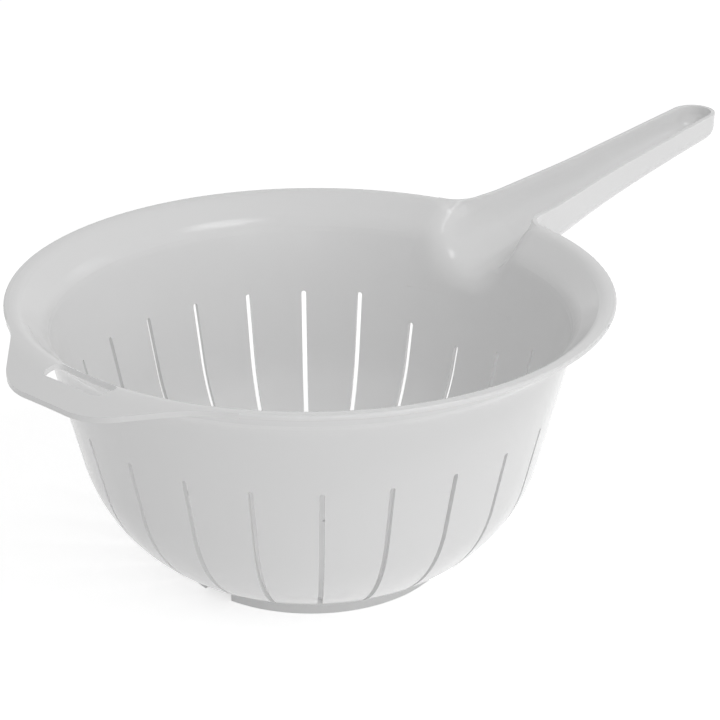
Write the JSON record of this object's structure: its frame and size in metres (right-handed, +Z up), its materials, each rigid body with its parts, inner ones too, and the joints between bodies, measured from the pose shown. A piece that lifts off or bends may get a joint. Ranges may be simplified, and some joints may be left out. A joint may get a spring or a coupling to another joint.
{
  "type": "colander",
  "caption": "Round slotted colander with a flared rim, a long trough-shaped handle flowing out of the bowl and a small helper grip with a finger hole opposite.",
  "frame": {"origin": "middle of the bounding box's bottom face: on the standing plane and the plane of symmetry, halfway along the whole length. The bowl's axis is 78.25 mm from it, at X = -0.07825", "axes": "+Z up along the bowl's axis, +X along the long handle, away from the bowl"},
  "size_m": [0.4401, 0.25, 0.1327],
  "materials": {
    "white_plastic": "satin-glossy moulded polypropylene"
  },
  "bodies": {
    "root": {"bowl_wall": "white_plastic", "bowl_floor": "white_plastic", "foot_ring": "white_plastic", "rim_flange": "white_plastic", "rim_lip": "white_plastic", "handle_root": "white_plastic", "long_handle": "white_plastic", "helper_grip": "white_plastic"}
  },
  "joints": []
}
